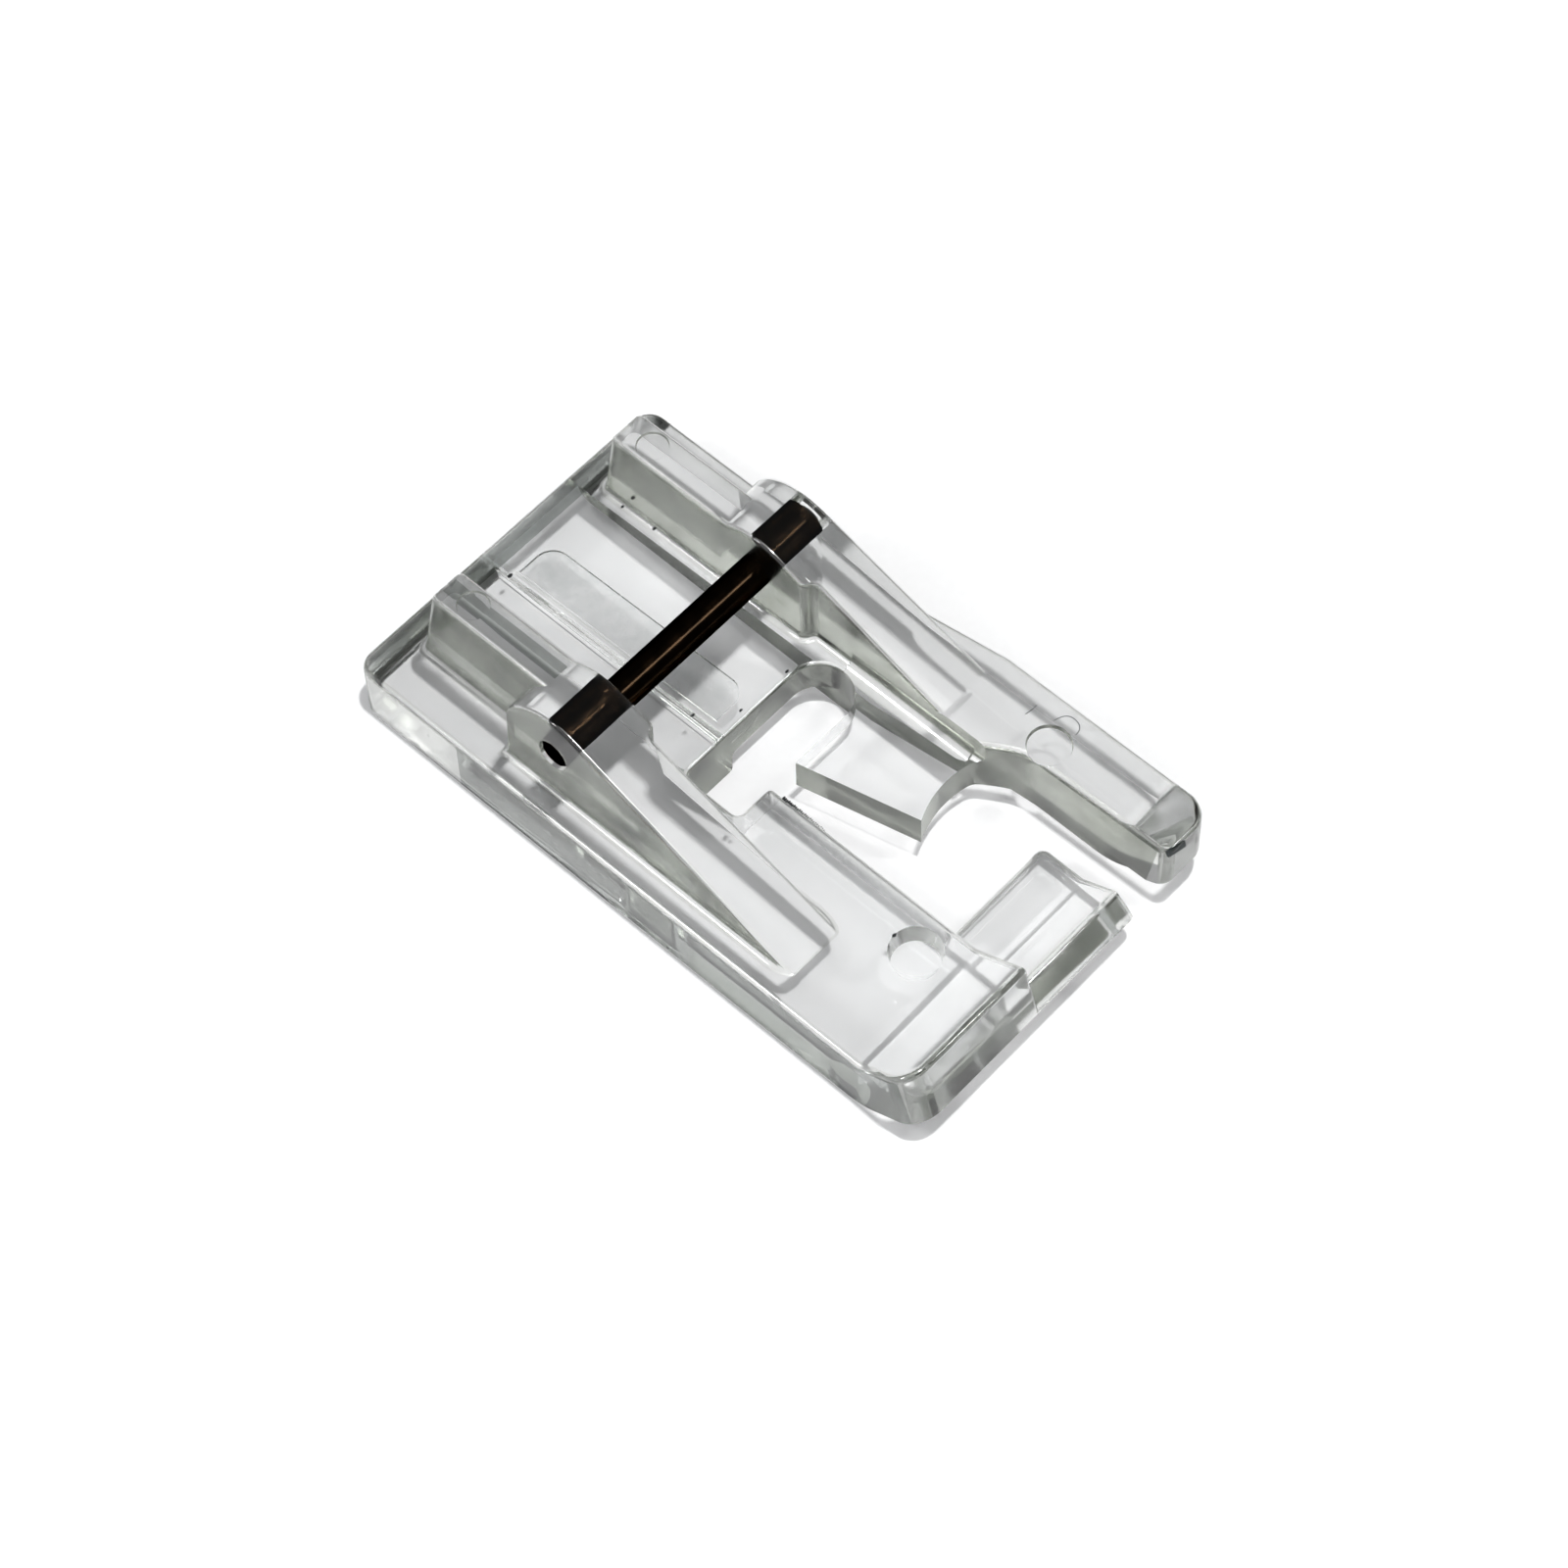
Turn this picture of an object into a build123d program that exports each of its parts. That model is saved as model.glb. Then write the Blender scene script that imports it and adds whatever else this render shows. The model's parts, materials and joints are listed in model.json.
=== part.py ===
"""Clip-on presser foot for a sewing machine: a clear moulded foot and the steel pin it hangs from.

Millimetres. +Z is up, the toes point to -Y, +X is the sewer's right. The sole lies on z = 0 and
the frame's origin is the middle of its outline.
"""

import os
from math import asin, atan2, cos, hypot, radians, sin, sqrt, tan

from build123d import *

# The sole plate and its turned-up toes
sole_width = 20.0
sole_length = 35.4
plate_thickness = 3.4
back_corner_radius = 1.05
front_corner_radius = 1.4
toe_corner_radius = 0.3
rim_radius = 0.3
bend_from_front = 3.5
bend_radius = 3.0
tip_bottom_height = 2.1
tip_top_height = 5.15
tip_top_setback = 0.9
crease_from_front = 3.85
back_edge_radius = 0.7

# The narrow right toe is a thicker block, reached by a slope beside the cheek
block_height = 4.85
block_slope_start = 17.45
block_slope_end = 23.15
block_cove_radius = 0.9
slit_corner_radius = 0.6

# The two cheeks, mirrored about the middle of the channel between them
channel_middle_x = 0.1
channel_half_width = 4.95
rib_thickness = 2.05
rib_edge_radius = 0.25
boss_edge_radius = 0.22
rib_height = 8.1
rib_from_back = 1.75
rib_lean = 0.75
side_draft = 3.0
boss_thickness = 3.5
boss_top_height = 8.65
boss_back_height = 7.0
boss_reach = 2.9
ramp_end_from_back = 26.45
ramp_inset = 0.55
ramp_inset_from_pin = 3.1
cheek_foot_radius = 0.4
cheek_corner_radius = 0.35

# The pin
pin_diameter = 1.7
pin_from_back = 11.7
pin_height = 6.15
pin_end_inset = 0.1
pin_chamfer = 0.15

# The needle slot and the thread opening in front of it
slot_back_from_back = 15.62
slot_length = 3.38
slot_left_x = -4.1
slot_right_x = 4.95
slot_corner_radius = 0.4
slot_edge_radius = 0.2
left_toe_inner_x = -1.9
tongue_left_x = -0.2
tongue_tip_x = 1.35
tongue_front_from_back = 24.8
tongue_tip_drop = 0.55
tongue_peak_x = 3.7
brow_end_x = 4.95
brow_end_drop = 0.15
turn_x = 5.67
turn_drop = 0.78
opening_right_x = 6.55
opening_corner = 3.1
slit_flare = 0.2
flange_back_from_front = 5.67
flange_right_x = 4.75
flange_thickness = 2.0
flange_crease_from_front = 3.1
flange_tip_from_front = 1.1
flange_edge_radius = 0.4
flange_corner_radius = 0.5

# The stitch tunnel cut in the underside, and the shallow pad for a size mark in its ceiling
tunnel_depth = 1.45
tunnel_back_depth = 0.7
tunnel_left_x = -0.95
tunnel_right_x = 5.0
tunnel_corner_radius = 0.4
tunnel_lip_radius = 0.25
tunnel_flare = 0.6
tunnel_turn = 0.9
toe_relief_x = 7.05
toe_relief_chamfer = 0.15
toe_relief_start = 2.7
pad_right_x = 1.7
pad_from_slot = 1.4
pad_length = 12.8
pad_width = 2.2
pad_corner_radius = 1.0
pad_depth = 0.12

# Round witness marks of the ejector pins
mark_taper = 15.0
toe_mark_depth = 0.5
toe_mark_radius = 1.3
toe_mark_x = -3.9
toe_mark_from_front = 5.7
block_mark_depth = 0.2
block_mark_radius = 1.1
block_mark_x = 7.6
block_mark_from_front = 7.8
rib_mark_depth = 0.12
rib_mark_radius = 0.8
rib_mark_from_back = 4.3

half_width = sole_width / 2
back = sole_length / 2
front = -sole_length / 2
top = plate_thickness
pin_y = back - pin_from_back
slot_back = back - slot_back_from_back
slot_front = slot_back - slot_length
bend_y = front + bend_from_front
crease_y = front + crease_from_front
tip_top_y = front + tip_top_setback
flange_back = front + flange_back_from_front
flange_crease = front + flange_crease_from_front
flange_tip_y = front + flange_tip_from_front
tongue_front = back - tongue_front_from_back
ramp_end = back - ramp_end_from_back
slope_start = back - block_slope_start
slope_end = back - block_slope_end
toe_slope = (tip_top_height - plate_thickness) / (crease_y - tip_top_y)
flange_tip_height = flange_thickness + (flange_crease - flange_tip_y) * toe_slope
tunnel_fall = (tunnel_depth - tunnel_back_depth) / slot_back_from_back
mid_x = channel_middle_x
block_left_x = mid_x + channel_half_width + ramp_inset
overrun = 1.0
high = boss_top_height + overrun
near = 0.01


def sole_profile(upper):
    """Side outline of the sole: flat, bent up at the front, closed by the given upper points."""
    Polyline(
        (back, top), (back, 0), (bend_y, 0), (front, tip_bottom_height), *upper, (back, top)
    )


def soften(part, radius, *points):
    """Rounds the edges of the part that run through the given points."""
    fillet([part.edges().sort_by_distance(point)[0] for point in points], radius)


# One cheek, on the right: the low rib behind the pin, the rounded boss and the ramp ahead of it
rib_out = channel_half_width + rib_thickness
boss_out = channel_half_width + boss_thickness
lean = tan(radians(side_draft))
lobe_radius = (boss_reach**2 + (boss_top_height - boss_back_height) ** 2) / (
    2 * (boss_top_height - boss_back_height)
)
lobe_z = boss_top_height - lobe_radius
reach = hypot(pin_y - ramp_end, lobe_z - top)
ramp_angle = atan2(lobe_z - top, pin_y - ramp_end) + asin(lobe_radius / reach)
ramp_run = sqrt(reach**2 - lobe_radius**2)
ramp_top = (ramp_end + ramp_run * cos(ramp_angle), top + ramp_run * sin(ramp_angle))
sunk = top / 2
step_radius = 0.8 * ramp_inset

# The ledge of plate outside the bosses has to hold the rounded foot of the cheek and the rim
ledge = half_width - mid_x - boss_out - (boss_top_height - top) * lean
foot_radius = min(cheek_foot_radius, 0.5 * ledge)
edge_radius = min(rim_radius, 0.35 * ledge)

with BuildPart() as rib:
    with BuildSketch(Plane.YZ):
        with BuildLine():
            Polyline(
                (pin_y, sunk),
                (back - rib_from_back, sunk),
                (back - rib_from_back, top),
                (back - rib_from_back - rib_lean, rib_height),
                (pin_y, rib_height),
                close=True,
            )
        make_face()
    extrude(amount=half_width)
    with BuildSketch(Plane.XZ.offset(-back)):
        with BuildLine():
            Polyline(
                (channel_half_width, 0),
                (rib_out + rib_height * lean, 0),
                (rib_out, rib_height),
                (channel_half_width, rib_height),
                close=True,
            )
        make_face()
    extrude(amount=sole_length, mode=Mode.INTERSECT)
    uprights = rib.edges().filter_by(lambda e: e.center().Y > back - rib_from_back - rib_lean)
    fillet(
        [e for e in uprights if e.bounding_box().size.Z > rib_height - top - near],
        cheek_corner_radius,
    )
    soften(rib, rib_edge_radius, (channel_half_width, pin_y + boss_reach, rib_height))

with BuildPart() as boss:
    with BuildSketch(Plane.YZ):
        with BuildLine():
            ThreePointArc(
                (pin_y + boss_reach, boss_back_height), (pin_y, boss_top_height), ramp_top
            )
            Polyline(
                ramp_top,
                (ramp_end, top),
                (ramp_end, sunk),
                (pin_y + boss_reach, sunk),
                (pin_y + boss_reach, boss_back_height),
            )
        make_face()
    extrude(amount=half_width)
    with BuildSketch(Plane.XZ.offset(-back)):
        with BuildLine():
            Polyline(
                (channel_half_width, 0),
                (boss_out + boss_top_height * lean, 0),
                (boss_out, boss_top_height),
                (boss_out, high),
                (channel_half_width, high),
                close=True,
            )
        make_face()
    extrude(amount=sole_length, mode=Mode.INTERSECT)
    with BuildSketch() as inset:
        with BuildLine():
            Polyline(
                (0, pin_y - ramp_inset_from_pin),
                (channel_half_width + ramp_inset, pin_y - ramp_inset_from_pin),
                (channel_half_width + ramp_inset, front),
                (0, front),
                close=True,
            )
        make_face()
        fillet(inset.vertices().group_by(Axis.X)[-1].sort_by(Axis.Y)[-1], step_radius)
    extrude(amount=high, mode=Mode.SUBTRACT)
    step = boss.edges().filter_by(Axis.Z).filter_by(
        lambda e: abs(e.center().X - channel_half_width) < near
        and abs(e.center().Y - pin_y + ramp_inset_from_pin) < near
    )
    fillet(step, step_radius)
    soften(
        boss,
        boss_edge_radius,
        (channel_half_width, pin_y, boss_top_height),
        (boss_out, pin_y, boss_top_height),
    )

with BuildPart() as cheek:
    add(rib.part.moved(Location((mid_x, 0, 0))))
    add(boss.part.moved(Location((mid_x, 0, 0))))

# The clear foot
with BuildPart() as foot_body:
    with BuildSketch(Plane.YZ.offset(-half_width)) as left_side:
        with BuildLine():
            sole_profile([(tip_top_y, tip_top_height), (crease_y, top)])
        make_face()
        fillet(left_side.vertices().sort_by_distance((bend_y, 0, 0))[0], bend_radius)
        fillet(left_side.vertices().sort_by_distance((back, 0, 0))[0], back_edge_radius)
    extrude(amount=block_left_x + half_width)
    with BuildSketch(Plane.YZ.offset(block_left_x)) as right_side:
        with BuildLine():
            sole_profile([(tip_top_y, block_height), (slope_end, block_height), (slope_start, top)])
        make_face()
        fillet(right_side.vertices().sort_by_distance((bend_y, 0, 0))[0], bend_radius)
        fillet(right_side.vertices().sort_by_distance((back, 0, 0))[0], back_edge_radius)
    extrude(amount=half_width - block_left_x)
    with BuildSketch() as outline:
        Rectangle(sole_width, sole_length)
        fillet(outline.vertices().group_by(Axis.Y)[-1], back_corner_radius)
    extrude(amount=high, mode=Mode.INTERSECT)

    add(cheek.part)
    add(mirror(cheek.part, about=Plane.YZ.offset(mid_x)))

    # thread opening between the tongue and the flange, with its slit out to the front
    with BuildSketch() as opening:
        with BuildLine():
            brow = ThreePointArc(
                (tongue_tip_x, tongue_front - tongue_tip_drop),
                (tongue_peak_x, tongue_front),
                (brow_end_x, tongue_front - brow_end_drop),
            )
            turn = Spline(
                brow @ 1,
                (turn_x, tongue_front - turn_drop),
                (opening_right_x, tongue_front - opening_corner),
                tangents=[brow % 1, (0, -1)],
            )
            Polyline(
                turn @ 1,
                (opening_right_x + slit_flare, front - overrun),
                (flange_right_x, front - overrun),
                (flange_right_x, flange_back),
                (left_toe_inner_x, flange_back),
                (left_toe_inner_x, slot_front + overrun),
                (tongue_left_x, slot_front + overrun),
                (tongue_left_x, slot_front),
                brow @ 0,
            )
        make_face()
        fillet(
            opening.vertices().sort_by_distance((flange_right_x, flange_back))[0],
            flange_corner_radius,
        )
    extrude(amount=high, mode=Mode.SUBTRACT)

    # rounded feet of the cheeks
    feet = foot_body.edges().filter_by(
        lambda e: abs(e.center().Z - top) < near
        and e.bounding_box().size.Z < near
        and abs(e.center().X - mid_x) > channel_half_width - near
        and abs(e.center().X - mid_x) < boss_out + boss_top_height * lean
        and slope_start + near < e.center().Y < back - rib_from_back + near
    )
    fillet(feet, foot_radius)

    # hollow where the right toe's block rises from the tongue
    with BuildSketch(Plane.XZ.offset(-slot_front - slot_length / 2)):
        with Locations((block_left_x, top)):
            Rectangle(block_cove_radius, block_cove_radius, align=(Align.MAX, Align.MIN))
        with Locations((block_left_x - block_cove_radius, top + block_cove_radius)):
            Circle(block_cove_radius, mode=Mode.SUBTRACT)
    extrude(amount=slot_front + slot_length / 2 - tongue_front)

    # the flange lies lower than the toe beside it
    with BuildSketch(Plane.YZ.offset(left_toe_inner_x)):
        with BuildLine():
            Polyline(
                (flange_back, flange_thickness),
                (flange_crease, flange_thickness),
                (flange_tip_y, flange_tip_height),
                (front - overrun, tip_bottom_height - overrun),
                (front - overrun, high),
                (flange_back, high),
                close=True,
            )
        make_face()
    extrude(amount=flange_right_x - left_toe_inner_x, mode=Mode.SUBTRACT)

    # rounded corners of the toes and the flange, then the rims that run round them
    end_y = front + tip_top_setback / 2
    left_end_z = (tip_bottom_height + tip_top_height) / 2
    right_end_z = (tip_bottom_height + block_height) / 2
    flange_end_z = (tip_bottom_height + flange_tip_height) / 2
    rise_y = (crease_y + tip_top_y) / 2
    rise_z = (top + tip_top_height) / 2
    slope_y = (slope_start + slope_end) / 2
    slope_z = (top + block_height) / 2
    soften(
        foot_body,
        front_corner_radius,
        (-half_width, end_y, left_end_z),
        (half_width, end_y, right_end_z),
    )
    soften(foot_body, slit_corner_radius, (opening_right_x + slit_flare, end_y, right_end_z))
    soften(foot_body, flange_corner_radius, (flange_right_x, end_y, flange_end_z))
    soften(foot_body, toe_corner_radius, (left_toe_inner_x, end_y, left_end_z))
    soften(
        foot_body,
        edge_radius,
        (-half_width, 0, top),
        (-half_width, rise_y, rise_z),
        (left_toe_inner_x, flange_back, top),
        (half_width, slope_y, slope_z),
        (half_width, flange_back, block_height),
    )
    soften(
        foot_body,
        flange_edge_radius,
        (0, flange_tip_y, flange_tip_height),
        (flange_right_x, flange_crease + flange_edge_radius, flange_thickness),
    )

    # needle slot, square at its left end and round at its right
    with BuildSketch() as slot:
        with BuildLine():
            bow_x = slot_right_x - slot_length / 2
            Polyline(
                (bow_x, slot_back),
                (slot_left_x, slot_back),
                (slot_left_x, slot_front),
                (bow_x, slot_front),
            )
            RadiusArc((bow_x, slot_front), (bow_x, slot_back), -slot_length / 2)
        make_face()
        fillet(slot.vertices().group_by(Axis.X)[0], slot_corner_radius)
    extrude(amount=high, mode=Mode.SUBTRACT)
    soften(foot_body, slot_edge_radius, (0, slot_back, top))

    # stitch tunnel along the underside: shallower to the back, wider below the right toe
    with BuildSketch(Plane.YZ.offset(tunnel_left_x)):
        with BuildLine():
            Polyline(
                (slot_front, 0),
                (back, 0),
                (back, tunnel_back_depth),
                (slot_back, tunnel_depth),
                (slot_front, tunnel_depth),
                close=True,
            )
        make_face()
    extrude(amount=tunnel_right_x - tunnel_left_x, mode=Mode.SUBTRACT)
    with BuildSketch():
        with BuildLine():
            Polyline(
                (tunnel_left_x, slot_back),
                (tunnel_right_x, slot_back),
                (tunnel_right_x, slot_front),
                (tunnel_right_x + tunnel_flare, tongue_front + tunnel_turn),
                (toe_relief_x - toe_relief_chamfer, tongue_front - tunnel_turn),
                (toe_relief_x, tongue_front - toe_relief_start),
                (toe_relief_x, front),
                (opening_right_x, front),
                (opening_right_x, tongue_front - opening_corner),
                (tunnel_left_x, tongue_front - opening_corner),
                close=True,
            )
        make_face()
    extrude(amount=tunnel_depth, mode=Mode.SUBTRACT)

    wall_y = (slot_back + back) / 2
    wall_z = (tunnel_depth + tunnel_back_depth) / 2
    soften(foot_body, tunnel_corner_radius, (tunnel_left_x, wall_y, wall_z))
    with BuildSketch(Plane.XZ.offset(-back)):
        with Locations((tunnel_left_x, 0)):
            Rectangle(tunnel_lip_radius, tunnel_lip_radius, align=(Align.MAX, Align.MIN))
        with Locations((tunnel_left_x - tunnel_lip_radius, tunnel_lip_radius)):
            Circle(tunnel_lip_radius, mode=Mode.SUBTRACT)
    extrude(amount=slot_back_from_back, mode=Mode.SUBTRACT)

    # pad in the tunnel's ceiling
    with BuildSketch(Plane((0, slot_back, tunnel_depth), (1, 0, 0), (0, tunnel_fall, 1))) as pad:
        with Locations((pad_right_x, pad_from_slot)):
            Rectangle(pad_width, pad_length, align=(Align.MAX, Align.MIN))
        fillet(pad.vertices().group_by(Axis.X)[-1], pad_corner_radius)
    extrude(amount=pad_depth, mode=Mode.SUBTRACT)

    # bores for the pin
    with BuildSketch(Plane.YZ.offset(-half_width)):
        with Locations((pin_y, pin_height)):
            Circle(pin_diameter / 2)
    extrude(amount=sole_width, mode=Mode.SUBTRACT)

    # ejector marks on the toes and ribs
    rib_mid = channel_half_width + rib_thickness / 2
    marks = (
        (toe_mark_x, front + toe_mark_from_front, top, toe_mark_radius, toe_mark_depth),
        (block_mark_x, front + block_mark_from_front, block_height, block_mark_radius, block_mark_depth),
        (mid_x - rib_mid, back - rib_mark_from_back, rib_height, rib_mark_radius, rib_mark_depth),
        (mid_x + rib_mid, back - rib_mark_from_back, rib_height, rib_mark_radius, rib_mark_depth),
    )
    for mark_x, mark_y, mark_z, mark_radius, mark_depth in marks:
        with BuildSketch(Plane.XY.offset(mark_z)):
            with Locations((mark_x, mark_y)):
                Circle(mark_radius)
        extrude(amount=-mark_depth, taper=mark_taper, mode=Mode.SUBTRACT)

# The steel pin, held in both bosses
with BuildPart() as cross_pin:
    end_x = boss_out + (boss_top_height - pin_height) * lean - pin_end_inset
    with BuildSketch(Plane.YZ.offset(mid_x - end_x)):
        with Locations((pin_y, pin_height)):
            Circle(pin_diameter / 2)
    extrude(amount=2 * end_x)
    chamfer(cross_pin.edges().filter_by(GeomType.CIRCLE), pin_chamfer)

foot_body.part.label = "foot_body"
cross_pin.part.label = "cross_pin"
export_step(foot_body.part, "parts/foot_body.step")
export_step(cross_pin.part, "parts/cross_pin.step")
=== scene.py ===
import json
import math

import bpy
from mathutils import Matrix, Vector

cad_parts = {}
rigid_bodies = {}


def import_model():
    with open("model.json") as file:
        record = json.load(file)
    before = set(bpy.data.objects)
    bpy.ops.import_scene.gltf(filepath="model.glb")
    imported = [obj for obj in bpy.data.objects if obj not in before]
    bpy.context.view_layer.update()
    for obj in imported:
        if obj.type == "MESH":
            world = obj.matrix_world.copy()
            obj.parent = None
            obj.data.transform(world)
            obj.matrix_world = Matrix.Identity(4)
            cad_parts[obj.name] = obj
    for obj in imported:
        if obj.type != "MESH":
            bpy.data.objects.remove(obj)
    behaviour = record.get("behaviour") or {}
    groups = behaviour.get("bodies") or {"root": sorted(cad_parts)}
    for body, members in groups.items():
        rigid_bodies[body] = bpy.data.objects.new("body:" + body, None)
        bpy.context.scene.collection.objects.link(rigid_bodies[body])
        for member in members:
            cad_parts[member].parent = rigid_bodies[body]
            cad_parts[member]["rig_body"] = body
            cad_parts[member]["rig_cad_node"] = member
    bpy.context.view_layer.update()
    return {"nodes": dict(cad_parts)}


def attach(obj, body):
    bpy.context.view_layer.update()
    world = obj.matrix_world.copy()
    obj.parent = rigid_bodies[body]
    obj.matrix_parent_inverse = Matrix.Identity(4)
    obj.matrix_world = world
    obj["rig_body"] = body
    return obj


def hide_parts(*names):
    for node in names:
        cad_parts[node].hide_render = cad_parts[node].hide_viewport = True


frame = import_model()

# The clear foot: one injection moulding of polycarbonate, with a polished sole, two upturned toes
# and two cheeks that hold the pin. It is moulded in one shot, so its edges are slightly rounded.
mm = 0.001
WELD = 0.002 * mm
SHARP_EDGE = math.radians(32)


def deselect():
    """Leaves nothing selected and no object in edit mode."""
    if bpy.context.object and bpy.context.object.mode != "OBJECT":
        bpy.ops.object.mode_set(mode="OBJECT")
    bpy.ops.object.select_all(action="DESELECT")


def pick(piece):
    """Leaves the piece as the one selected object."""
    deselect()
    piece.select_set(True)
    bpy.context.view_layer.objects.active = piece


def copy_of(cad_node, name):
    """A merged copy of a CAD node's mesh, as a new piece of its own."""
    pick(frame["nodes"][cad_node])
    bpy.ops.object.duplicate()
    piece = bpy.context.object
    piece.name = piece.data.name = name
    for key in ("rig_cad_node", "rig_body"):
        del piece[key]
    piece.parent = None
    piece.data.materials.clear()
    bpy.ops.object.mode_set(mode="EDIT")
    bpy.ops.mesh.select_all(action="SELECT")
    bpy.ops.mesh.remove_doubles(threshold=WELD)
    bpy.ops.mesh.customdata_custom_splitnormals_clear()
    bpy.ops.object.mode_set(mode="OBJECT")
    return piece


def apply_modifier(piece, kind, **settings):
    """Adds one modifier to the piece and applies it."""
    pick(piece)
    step = piece.modifiers.new(kind.title(), kind)
    for key, value in settings.items():
        setattr(step, key, value)
    bpy.ops.object.modifier_apply(modifier=step.name)


def smooth(piece):
    """Rounded faces shade smoothly and sharper edges stay crisp."""
    pick(piece)
    bpy.ops.object.shade_smooth_by_angle(angle=SHARP_EDGE)


def open_with(piece, kind, chosen):
    """Opens the piece in edit mode with only the chosen of its vertices or polygons selected."""
    pick(piece)
    bpy.ops.object.mode_set(mode="EDIT")
    bpy.ops.mesh.select_all(action="DESELECT")
    bpy.ops.object.mode_set(mode="OBJECT")
    for part in getattr(piece.data, kind):
        part.select = chosen(part)
    bpy.ops.object.mode_set(mode="EDIT")


def between(value, limits):
    """Whether a value lies between two limits."""
    return limits[0] < value < limits[1]


foot = copy_of("foot_body", "clear_foot")

# The ejector pin has left a deep round mark in the left toe, and the right toe's end stands upright.
# In the solids that mark is shallower and that end leans back, so both are moved here.
MARK_X, MARK_Y = -3.9 * mm, -12 * mm
MARK_FLOOR_RADIUS = 1.25 * mm
MARK_FLOOR = (2.85 * mm, 2.95 * mm)
MARK_SUNK = 0.6 * mm
TIP_LEFT = 5.5 * mm
TIP_BACK = -15.4 * mm
TIP_LOW = 4.5 * mm
TIP_FORWARD = 0.83 * mm


def from_mark(x, y):
    """How far a place is from the middle of the left toe's mark."""
    return math.hypot(x - MARK_X, y - MARK_Y)


def in_toe_mark(corner):
    """The floor of the left toe's mark."""
    x, y, z = corner.co
    return from_mark(x, y) < MARK_FLOOR_RADIUS and between(z, MARK_FLOOR)


def on_right_tip(corner):
    """The top of the right toe's end."""
    x, y, z = corner.co
    return x > TIP_LEFT and y < TIP_BACK and z > TIP_LOW


for chosen, move in ((in_toe_mark, (0, 0, -MARK_SUNK)), (on_right_tip, (0, -TIP_FORWARD, 0))):
    open_with(foot, "vertices", chosen)
    bpy.ops.transform.translate(value=move)
    bpy.ops.object.mode_set(mode="OBJECT")

# The large faces are told apart by their place and by how far their normal points up, which is
# 1 on a level top, 0 on a wall and -1 on a level underside.
LEVEL = 0.99
RAMP_UP = (0.92, 0.95)
TOE_UP = (0.84, 0.88)
RIB_UP = 0.97
TURNED = 0.2
SIDEWAYS = 0.9
PLATE_TOP = (3.3 * mm, 3.5 * mm)
RIB_TOP = 7.9 * mm
RIB_FRONT = 8 * mm
SIDE = 9.4 * mm


def on_ramp(face):
    """The top of a cheek where it falls to the plate."""
    return between(face.normal.z, RAMP_UP) and face.normal.y < -TURNED


def on_toe(face):
    """The upturned top of the left toe, and of the flange beside it."""
    return between(face.normal.z, TOE_UP) and face.normal.y > TURNED


def on_plate(face):
    """The level top of the sole's back half."""
    return face.normal.z > LEVEL and between(face.center.z, PLATE_TOP) and face.center.y > 0


def on_left_rib(face):
    """The top of the left cheek behind its boss."""
    at_back_left = face.center.x < 0 and face.center.y > RIB_FRONT
    return at_back_left and face.normal.z > RIB_UP and face.center.z > RIB_TOP


def on_left_side(face):
    """The left side of the sole."""
    return face.normal.x < -SIDEWAYS and face.center.x < -SIDE


# Some faces change their finish along a line, some of them to painted shade, so they are cut there. Their
# shape stays the same.
LEFT_RAMP_FOOT = -8.29 * mm
RIGHT_RAMP_FOOT = -4.5 * mm
TOE_CREASE = -14.55 * mm
FLANGE_CREASE = -15.0 * mm
BACK_STRIP = 16.4 * mm
LEFT_RIB_FOOT = (-5 * mm, -3.95 * mm)
RIGHT_RIB_FOOT = (4.15 * mm, 5.1 * mm)
LEFT_RIB_BAND = (-6.25 * mm, -5.4 * mm)
SIDE_SHADE = 11.0 * mm
ACROSS = Vector((1, 0, 0))
ALONG = Vector((0, 1, 0))
for axis, place, chosen in (
    (ALONG, LEFT_RAMP_FOOT, on_ramp),
    (ALONG, RIGHT_RAMP_FOOT, on_ramp),
    (ALONG, TOE_CREASE, on_toe),
    (ALONG, FLANGE_CREASE, on_toe),
    (ALONG, BACK_STRIP, on_plate),
    (ACROSS, LEFT_RIB_FOOT[1], on_plate),
    (ACROSS, RIGHT_RIB_FOOT[0], on_plate),
    (ACROSS, LEFT_RIB_BAND[0], on_left_rib),
    (ACROSS, LEFT_RIB_BAND[1], on_left_rib),
    (ALONG, SIDE_SHADE, on_left_side),
):
    open_with(foot, "polygons", chosen)
    bpy.ops.mesh.bisect(plane_co=axis * place, plane_no=axis)
    bpy.ops.object.mode_set(mode="OBJECT")
smooth(foot)
apply_modifier(foot, "WEIGHTED_NORMAL", keep_sharp=True, weight=80)


def linear(code, alpha=1.0):
    """An sRGB hex colour as linear values."""
    parts = [int(code[i:i + 2], 16) / 255 for i in (0, 2, 4)]
    return tuple(p / 12.92 if p <= 0.04045 else ((p + 0.055) / 1.055) ** 2.4 for p in parts) + (alpha,)


def material(name):
    """A new material with its node tree and its Principled node."""
    made = bpy.data.materials.new(name)
    made.use_nodes = True
    return made, made.node_tree, made.node_tree.nodes["Principled BSDF"]


def node(tree, kind, links=(), **settings):
    """Adds a node, sets its sockets and properties by name, and links (output, input) pairs to it."""
    added = tree.nodes.new(kind)
    for key, value in settings.items():
        if key in added.inputs:
            added.inputs[key].default_value = value
        else:
            setattr(added, key, value)
    for output, key in links:
        tree.links.new(output, added.inputs[key])
    return added


DARK_STOP, PALE_STOP = 0.35, 0.85


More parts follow.
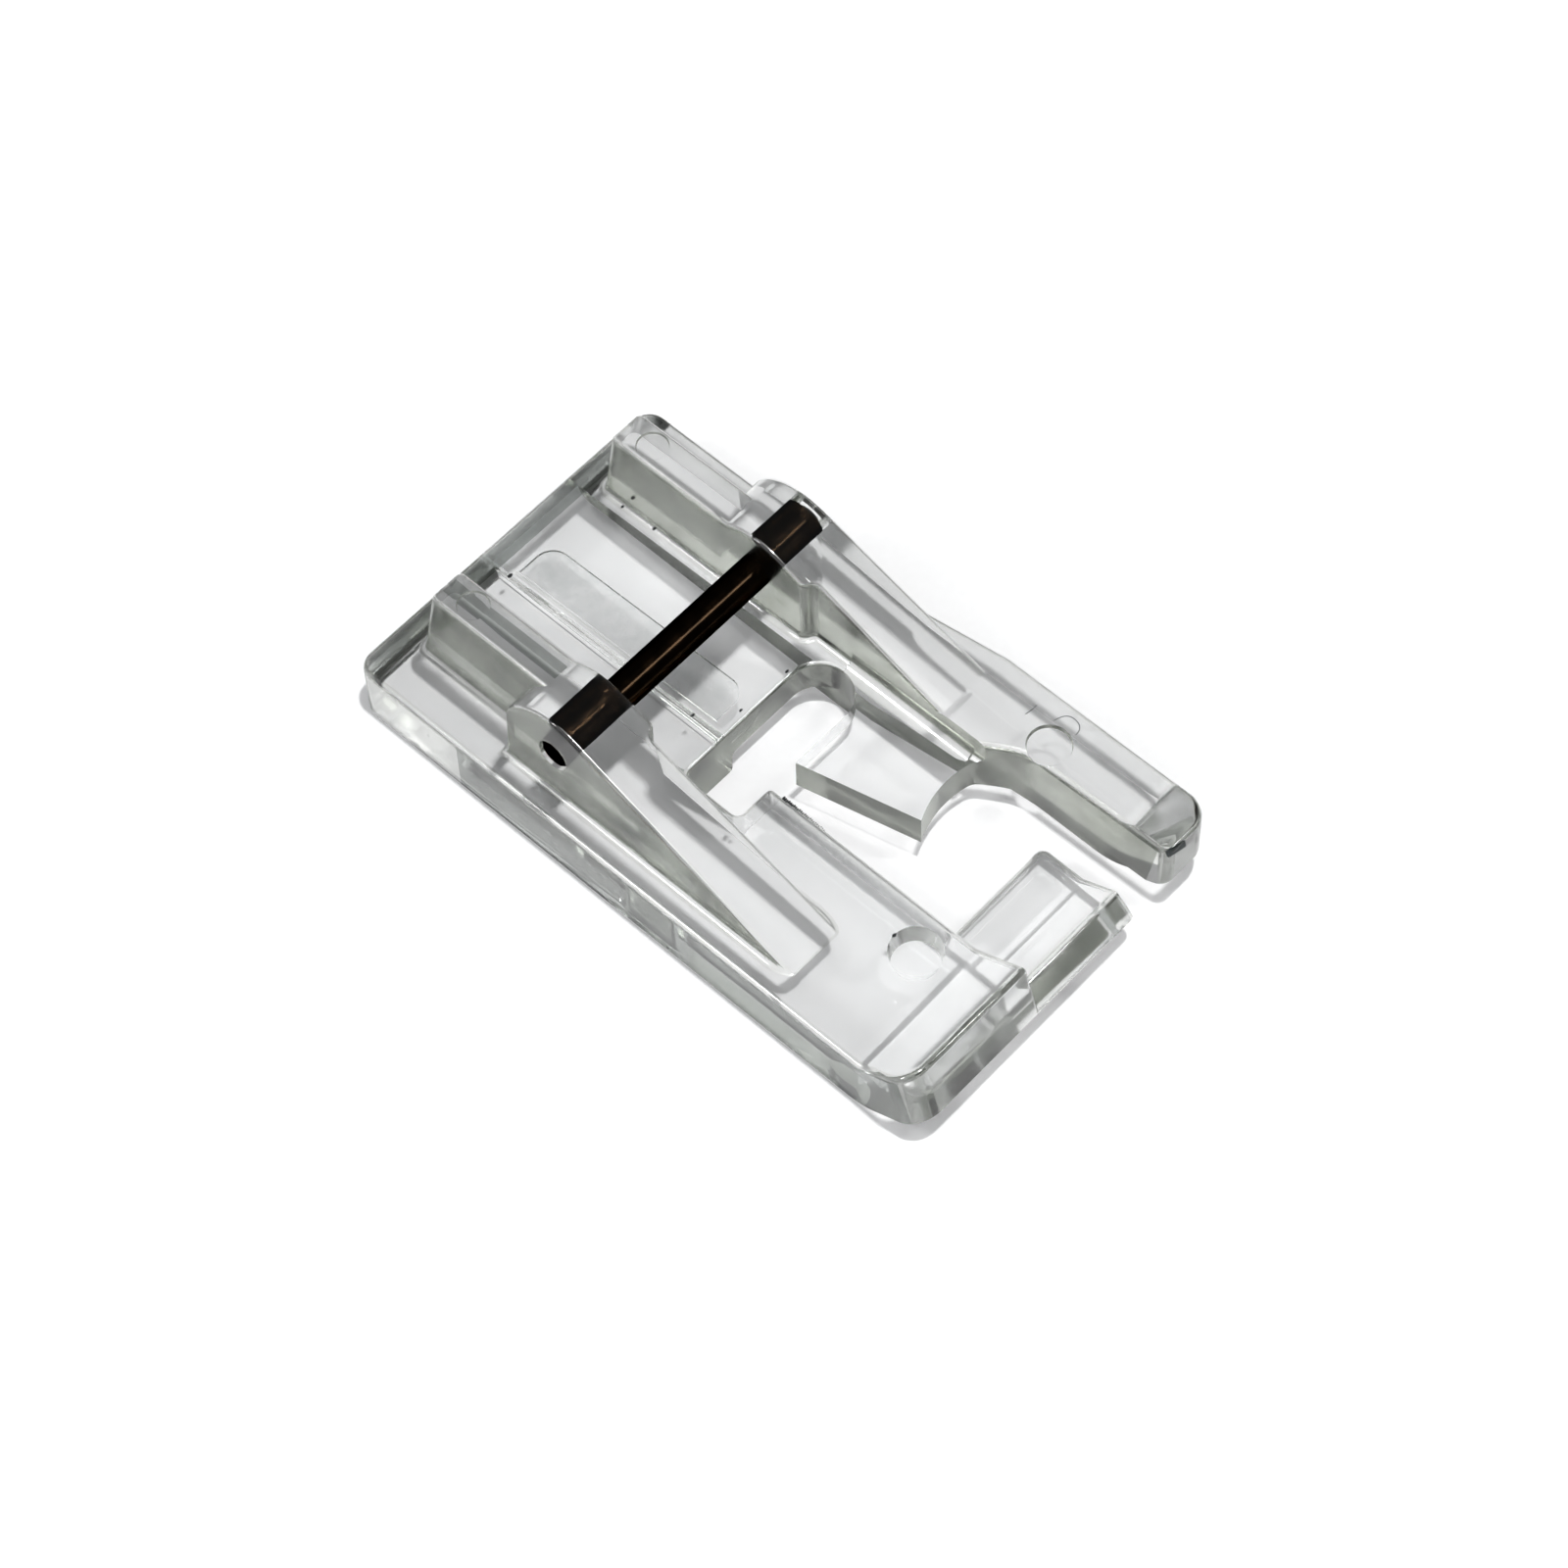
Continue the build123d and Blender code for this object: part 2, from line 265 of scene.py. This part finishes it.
def mottle(tree, skin, dark, pale, grain):
    """Colours the skin between two tints in soft patches of the given size, and returns the pattern."""
    place = node(tree, "ShaderNodeTexCoord")
    haze = node(
        tree, "ShaderNodeTexNoise", [(place.outputs["Object"], "Vector")], Scale=1 / grain, Detail=5.0
    )
    tints = node(tree, "ShaderNodeValToRGB", [(haze.outputs["Fac"], "Fac")])
    for stop, position, tint in zip(tints.color_ramp.elements, (DARK_STOP, PALE_STOP), (dark, pale)):
        stop.position = position
        stop.color = linear(tint)
    tree.links.new(tints.outputs["Color"], skin.inputs["Base Color"])
    return haze


DULLER = 0.05


def uneven_gloss(tree, skin, haze, dull):
    """Makes the skin as dull as given, and a little duller in the pattern's pale patches."""
    gloss = node(
        tree, "ShaderNodeMapRange", [(haze.outputs["Fac"], "Value")],
        **{"From Min": 0.4, "From Max": 0.75, "To Min": dull, "To Max": dull + DULLER},
    )
    tree.links.new(gloss.outputs["Result"], skin.inputs["Roughness"])


# Clear polycarbonate, moulded against steel: glossy, and it bends light strongly. Where a wall is seen
# through a long run of it, it looks grey olive; on the walls that grey olive is a tint that is partly the
# plastic's own and partly painted shade. How much of the lamp's light goes straight through to the paper is
# set for each finish by the Light Path, because the render follows no light that is bent on its way from a
# lamp. What is held back leaves a grey band on the paper.
def polycarbonate(name, passes, dull=0.0, dark="fdfefe", pale="ffffff", grain=6 * mm, coat=0.0):
    """Clear plastic: the share of lamplight it lets through, its dullness, its tints and its gloss coat."""
    made, tree, skin = material(name)
    skin.inputs["Transmission Weight"].default_value = 1.0
    skin.inputs["IOR"].default_value = 1.585
    skin.inputs["Coat Weight"].default_value = coat
    skin.inputs["Coat IOR"].default_value = 1.6
    skin.inputs["Coat Roughness"].default_value = 0.12
    haze = mottle(tree, skin, dark, pale, grain)
    uneven_gloss(tree, skin, haze, dull)
    path = node(tree, "ShaderNodeLightPath")
    lit = node(
        tree, "ShaderNodeMath",
        [(path.outputs["Is Shadow Ray"], 0), (path.outputs["Is Diffuse Ray"], 1)], operation="MAXIMUM",
    )
    solid = node(tree, "ShaderNodeMath", [(lit.outputs[0], 0)], operation="MULTIPLY_ADD")
    solid.inputs[1].default_value = -passes
    solid.inputs[2].default_value = 1.0
    tree.links.new(solid.outputs[0], skin.inputs["Alpha"])
    return made


# The polished finishes have only the faint flow of the melt, 3 to 6 mm across. On the dull ones the
# grain of the steel shows. It is far finer than the picture can show, so it is drawn as soft patches
# about a millimetre across.
finishes = (
    # Polished flats, through which the paper is almost as white as beside the foot
    polycarbonate("polished_polycarbonate", passes=0.87),
    # Polished slopes and round tops, which leave no shade below them
    polycarbonate("polycarbonate_slopes", passes=1.0),
    # Creases, which turn the light aside and leave a clear grey line
    polycarbonate("polycarbonate_creases", passes=0.25),
    # Bands painted grey all over: painted shade where the plastic turns the lamp's light aside
    polycarbonate("shaded_polycarbonate", passes=0.1, dark="858b87", pale="b4b9b5"),
    # Rounded edges, which catch the lamps as soft white lines
    polycarbonate("polycarbonate_edges", passes=0.1, dull=0.08, dark="eceee8", grain=3 * mm, coat=1.0),
    # Walls that came from spark-eroded steel, dull, and tinted grey olive: partly the plastic's own tint,
    # partly painted shade
    polycarbonate(
        "eroded_polycarbonate", passes=0.15, dull=0.2, dark="70756a", pale="a9aea2", grain=1.5 * mm
    ),
    # The ends of the toes, clear with a satin haze
    polycarbonate("satin_polycarbonate", passes=0.1, dull=0.12, dark="e2e5e0", grain=1.2 * mm),
    # The pad in the tunnel's ceiling, frosted and slightly milky
    polycarbonate("frosted_polycarbonate", passes=0.72, dull=0.25, dark="dfe3e2", grain=0.8 * mm),
)
POLISHED, SLOPE, CREASE, PAINTED_SHADE, EDGE, WALL, END, PAD = range(len(finishes))
for finish in finishes:
    foot.data.materials.append(finish)


def way_of(face):
    """The way a face points, rounded so that all triangles of one flat have the same."""
    return tuple(round(part, 2) for part in face.normal)


# How much of the foot's surface points each way
spread = {}
for face in foot.data.polygons:
    spread[way_of(face)] = spread.get(way_of(face), 0) + face.area

# How the finishes are told apart: shares of a normal first, then an area, then places on the foot
STEEP = 0.6
FORWARD = 0.5
UPWARD = 0.7
GENTLE = 0.84
SLIGHT = 0.1
DOWNWARD = 0.9
BOSS_STRAIGHT = 0.06
UNDER_TOE = (-0.97, -0.84)
SMALL_PATCH = 5 * mm * mm
TUNNEL_WALL = (-1.3 * mm, 0)
TUNNEL_TOP = 1.5 * mm
SLOT_BACK = 2.1 * mm
MARK_RIM = 1.32 * mm
MARK_LOW = 2 * mm
FLANGE_WIDTH = (-1.88 * mm, 5.2 * mm)
FLANGE_BACK = -11.9 * mm
LEFT_TOE_EDGE = -1.9 * mm
WALLED_LENGTH = (-15.9 * mm, 17.2 * mm)
BACK_FACE = 16.9 * mm
BOSS_LOW = 7 * mm
BOSS_BACK = 9 * mm
PAD_HEIGHT = 1.61 * mm
PAD_FALL = 0.048
ABOVE_SOLE = 0.3 * mm


def finish_of(face):
    """The finish of a face, from its place and the way it points. The first rule that fits holds."""
    x, y, z = face.center
    across, along, up = face.normal
    wall = abs(up) < STEEP
    # the tunnel's left wall
    if z < TUNNEL_TOP and y > SLOT_BACK and between(x, TUNNEL_WALL) and abs(up) < LEVEL:
        return SLOPE
    # the mark on the left toe
    if from_mark(x, y) < MARK_RIM and z > MARK_LOW:
        return SLOPE
    # the walls of the flange, and the ends of the toes
    if wall and between(x, FLANGE_WIDTH) and y < FLANGE_BACK:
        return END
    if wall and y < WALLED_LENGTH[0] and along < -FORWARD:
        return END
    # painted shade on the left side, up to the clear stretch at its back
    if on_left_side(face) and y < SIDE_SHADE:
        return PAINTED_SHADE
    # the walls inside the outline, and the back, whose grey olive is partly painted shade
    if wall and abs(x) < SIDE and between(y, WALLED_LENGTH):
        return WALL
    if y > BACK_FACE and up < SLIGHT and along > SLIGHT:
        return WALL
    # the round tops of the bosses, without their rounded edges
    if z > BOSS_LOW and y < BOSS_BACK and up > UPWARD and abs(across) < BOSS_STRAIGHT:
        return SLOPE
    # the undersides of the toes
    if between(up, UNDER_TOE):
        return SLOPE
    # rounded edges, which are small patches that each point their own way
    if spread[way_of(face)] < SMALL_PATCH or abs(up) < GENTLE:
        return EDGE
    # painted shade in bands on the plate and on the left rib, and a crease beside the right rib
    if on_plate(face) and (y > BACK_STRIP or between(x, LEFT_RIB_FOOT)):
        return PAINTED_SHADE
    if on_left_rib(face) and between(x, LEFT_RIB_BAND):
        return PAINTED_SHADE
    if on_plate(face) and between(x, RIGHT_RIB_FOOT):
        return CREASE
    # the lowest stretch of each ramp, and the bend of each toe
    if on_ramp(face):
        return CREASE if y < (LEFT_RAMP_FOOT if x < 0 else RIGHT_RAMP_FOOT) else SLOPE
    if on_toe(face):
        return CREASE if y > (TOE_CREASE if x < LEFT_TOE_EDGE else FLANGE_CREASE) else SLOPE
    # the pad, which is sunk in the tunnel's falling ceiling, and then the ceiling
    if up < -DOWNWARD and z > PAD_HEIGHT - PAD_FALL * y:
        return PAD
    if up < -DOWNWARD and z > ABOVE_SOLE:
        return SLOPE
    return POLISHED


for face in foot.data.polygons:
    face.material_index = finish_of(face)
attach(foot, "root")
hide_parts("foot_body")

# The pin: a short length of hardened steel wire, blacked and oiled, and pressed into both cheeks.
# The copy is slightly thicker than the CAD pin, so that it and the bores don't share one surface.
PIN_SWELL = 0.01 * mm
pin = copy_of("cross_pin", "steel_pin")
apply_modifier(pin, "DISPLACE", strength=PIN_SWELL, mid_level=0.0)
smooth(pin)
# Blacked steel: almost no colour, with a brown sheen where the oil catches a lamp.
blacked, tree, skin = material("blacked_steel")
haze = mottle(tree, skin, "17110b", "2b2016", grain=0.6 * mm)
uneven_gloss(tree, skin, haze, dull=0.15)
skin.inputs["Metallic"].default_value = 1.0
skin.inputs["Specular Tint"].default_value = linear("4a4038")
pin.data.materials.append(blacked)
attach(pin, "root")
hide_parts("cross_pin")

# Dirt: dark crumbs of lint and machine oil that lie loose on the plastic. A few have caught in the corners
# and on the plate. A close row of dark specks along the inner edge of the left toe is painted shade: it
# stands for the dark, jagged line that the rounded edge shows there.
deselect()
# The middle and the radius of each crumb, in millimetres
crumbs = (
    (5.02, 13.86, 4.55, 0.1), (4.8, 14.45, 3.45, 0.07), (4.9, 12.43, 3.5, 0.09), (0.2, 2.5, 3.42, 0.07),
    (-1.48, 3.97, 3.42, 0.08), (-3.94, -10.72, 3.41, 0.09), (-1.57, 15.71, 3.42, 0.1),
    (-4.72, -0.78, 3.43, 0.12), (-4.68, -1.05, 3.43, 0.08), (3.2, 2.35, 3.42, 0.08),
)
# The painted shade row starts in front of the slot and runs forwards, a little uneven, with specks that get
# smaller
ROW_COUNT = 24
ROW_X, ROW_WAVER = -1.93, 0.02
ROW_START, ROW_STEP = -2.15, 0.11
ROW_HEIGHT = 3.36
ROW_RADIUS, ROW_SHRINK = 0.07, 0.002
painted_shade_row = tuple(
    (ROW_X - ROW_WAVER * (i % 3), ROW_START - ROW_STEP * i, ROW_HEIGHT, ROW_RADIUS - ROW_SHRINK * i)
    for i in range(ROW_COUNT)
)
FLATTENED = (1.5, 0.9, 0.5)
for x, y, z, radius in crumbs + painted_shade_row:
    bpy.ops.mesh.primitive_ico_sphere_add(
        subdivisions=2, radius=radius * mm, location=(x * mm, y * mm, z * mm)
    )
    bpy.context.object.scale = FLATTENED
    bpy.ops.object.transform_apply(location=True, rotation=True, scale=True)


def join(names, name):
    """One piece from the objects whose names begin with the given word, its origin at the frame's."""
    deselect()
    for each in bpy.context.scene.objects:
        if each.name.startswith(names):
            each.select_set(True)
            bpy.context.view_layer.objects.active = each
    bpy.ops.object.join()
    piece = bpy.context.object
    piece.name = piece.data.name = name
    return piece


specks = join("Icosphere", "dirt_specks")
bpy.ops.object.mode_set(mode="EDIT")
bpy.ops.mesh.select_all(action="SELECT")
bpy.ops.transform.vertex_random(offset=0.02 * mm, seed=4)
bpy.ops.object.mode_set(mode="OBJECT")
# Oily lint: near black and dull, with slightly paler fibres. The same near black paints the shade along the
# left toe's edge.
lint_and_shade, tree, skin = material("oily_lint")
mottle(tree, skin, "0f1113", "26292c", grain=0.05 * mm)
skin.inputs["Roughness"].default_value = 0.7
specks.data.materials.append(lint_and_shade)
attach(specks, "root")

# Hair: two short curls of fine dark fibre, shed by cloth. They lie loose on the right toe, bent as
# they fell.
HAIR_RADIUS = 0.02 * mm
# The points along each strand, in millimetres
strands = (
    ((8.11, -8.0, 4.88), (8.4, -8.1, 4.9), (8.8, -8.1, 4.95)),
    (
        (8.7, -9.2, 4.88), (9.15, -9.35, 4.97), (9.45, -9.65, 5.0),
        (9.4, -10.15, 4.95), (9.2, -10.45, 4.9), (8.8, -10.45, 4.88),
    ),
)
for points in strands:
    deselect()
    bpy.ops.curve.primitive_nurbs_path_add()
    strand = bpy.context.object
    strand.name = "strand"
    spline = strand.data.splines[0]
    spline.points.add(max(0, len(points) - len(spline.points)))
    for i, point in enumerate(spline.points):
        x, y, z = points[min(i, len(points) - 1)]
        point.co = (x * mm, y * mm, z * mm, 1)
    spline.use_endpoint_u = True
    strand.data.bevel_depth = HAIR_RADIUS
    bpy.ops.object.convert(target="MESH")
hair = join("strand", "hair_strands")
smooth(hair)
# Fibre: dark grey with a slight sheen, darker and paler along its length.
fibre, tree, skin = material("dark_fibre")
mottle(tree, skin, "2c2f32", "5a5d60", grain=0.2 * mm)
skin.inputs["Roughness"].default_value = 0.5
hair.data.materials.append(fibre)
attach(hair, "root")

# The gate scar: what is left on the right toe's end where the plastic ran into the mould. It is a ridge of
# the foot's own polycarbonate, torn off the runner and left rough. Its dark colour is painted shade.
GATE_PLACE = (7.38 * mm, -17.61 * mm, 4.57 * mm)
GATE_HALF_SIZES = (0.55 * mm, 0.1 * mm, 0.16 * mm)
GATE_TURN = (math.radians(-30), math.radians(8), math.radians(-8))
deselect()
bpy.ops.mesh.primitive_cube_add(size=2, location=GATE_PLACE)
gate = bpy.context.object
gate.name = gate.data.name = "gate_scar"
gate.scale = GATE_HALF_SIZES
gate.rotation_euler = GATE_TURN
bpy.ops.object.transform_apply(location=True, rotation=True, scale=True)
apply_modifier(gate, "BEVEL", width=0.045 * mm, segments=3)
smooth(gate)
# Torn polycarbonate, half dull and painted dark: the dark colour is painted shade for the light that its
# rough face turns away.
torn_painted_dark, tree, skin = material("torn_polycarbonate")
mottle(tree, skin, "171c1d", "414849", grain=0.15 * mm)
skin.inputs["Roughness"].default_value = 0.45
gate.data.materials.append(torn_painted_dark)
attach(gate, "root")

# The paper: a large plain white sheet that the foot lies on, of pressed wood pulp. It lies just below
# the sole, and is lit so brightly that it shows almost nothing of its own.
PAPER_SIZE = 1.2
PAPER_DROP = 0.02 * mm
deselect()
bpy.ops.mesh.primitive_plane_add(size=PAPER_SIZE, location=(0, 0, 0))
paper = bpy.context.object
paper.name = "paper_sheet"
for corner in paper.data.vertices:
    corner.co.z -= PAPER_DROP
# White paper: matt and even. Its fibres are too fine to show, so they are drawn half a millimetre wide.
white, tree, skin = material("white_paper")
mottle(tree, skin, "fcfcfc", "ffffff", grain=0.5 * mm)
skin.inputs["Roughness"].default_value = 0.9
skin.inputs["Specular IOR Level"].default_value = 0.1
paper.data.materials.append(white)

# The light: a small lamp almost straight above the foot, a weak strip at the front right and a weak
# panel at the back left. The room has a ceiling that glows overhead, a pale left wall and dim walls
# elsewhere, which the plastic mirrors.
COOL_WHITE = (0.97, 0.985, 1.0, 1)
room = bpy.data.worlds.new("dim_room")
bpy.context.scene.world = room
room.use_nodes = True
tree = room.node_tree
sky = tree.nodes["Background"]
sky.inputs["Color"].default_value = COOL_WHITE
seen = node(tree, "ShaderNodeTexCoord")
parts = node(tree, "ShaderNodeSeparateXYZ", [(seen.outputs["Generated"], "Vector")])
ceiling = node(
    tree, "ShaderNodeMapRange", [(parts.outputs["Z"], "Value")],
    **{"From Min": 0.94, "From Max": 0.99, "To Min": 0.09, "To Max": 2.2},
)
left_wall = node(
    tree, "ShaderNodeMapRange", [(parts.outputs["X"], "Value")],
    **{"From Min": -0.1, "From Max": -0.6, "To Min": 0.0, "To Max": 0.6},
)
glow = node(
    tree, "ShaderNodeMath", [(ceiling.outputs["Result"], 0), (left_wall.outputs["Result"], 1)],
    operation="ADD",
)
tree.links.new(glow.outputs[0], sky.inputs["Strength"])


def lamp(name, place, shape, size, energy):
    """An area lamp that points at the middle of the foot."""
    deselect()
    bpy.ops.object.light_add(type="AREA", location=place)
    made = bpy.context.object
    made.name = name
    made.data.shape = shape
    made.data.size, made.data.size_y = size
    made.data.energy = energy
    made.rotation_euler = (-made.location).to_track_quat("-Z", "Y").to_euler()


lamp("overhead_lamp", place=(0.01, -0.056, 0.4), shape="DISK", size=(0.022, 0.022), energy=1.0)
lamp("strip_lamp", place=(0.166, -0.19, 0.373), shape="RECTANGLE", size=(0.03, 0.09), energy=0.24)
lamp("side_lamp", place=(-0.25, 0.162, 0.337), shape="RECTANGLE", size=(0.05, 0.09), energy=0.3)

# The camera stands above the front left of the foot, at the photograph's angle, and is turned a little
# about its own line of sight. It looks through a long lens from some 20 cm away. Light may pass many
# faces of the plastic before it is lost.
azimuth, elevation, roll = (math.radians(angle) for angle in (-45.667, 58.908, -2.101))
target = Vector((0.073, -0.238, 0)) * mm
distance = 212.213
level_share = math.cos(elevation)
back = Vector((math.sin(azimuth) * level_share, -math.cos(azimuth) * level_share, math.sin(elevation)))
level = Vector((0, 0, 1)).cross(back).normalized()
upward = back.cross(level)
right = math.cos(roll) * level + math.sin(roll) * upward
over = math.cos(roll) * upward - math.sin(roll) * level
turned = Matrix((right, over, back)).transposed().to_4x4()
deselect()
bpy.ops.object.camera_add()
camera = bpy.context.object
camera.name = "photo_camera"
camera.matrix_world = Matrix.Translation(target + back * distance * mm) @ turned
camera.data.sensor_width = 36
camera.data.lens = 104.35
camera.data.clip_start = 0.01
bpy.context.scene.camera = camera
bpy.context.scene.view_settings.view_transform = "Standard"
bpy.context.scene.cycles.caustics_refractive = False
FACES_PASSED = 24
for limit in ("max_bounces", "transmission_bounces", "glossy_bounces", "transparent_max_bounces"):
    setattr(bpy.context.scene.cycles, limit, FACES_PASSED)
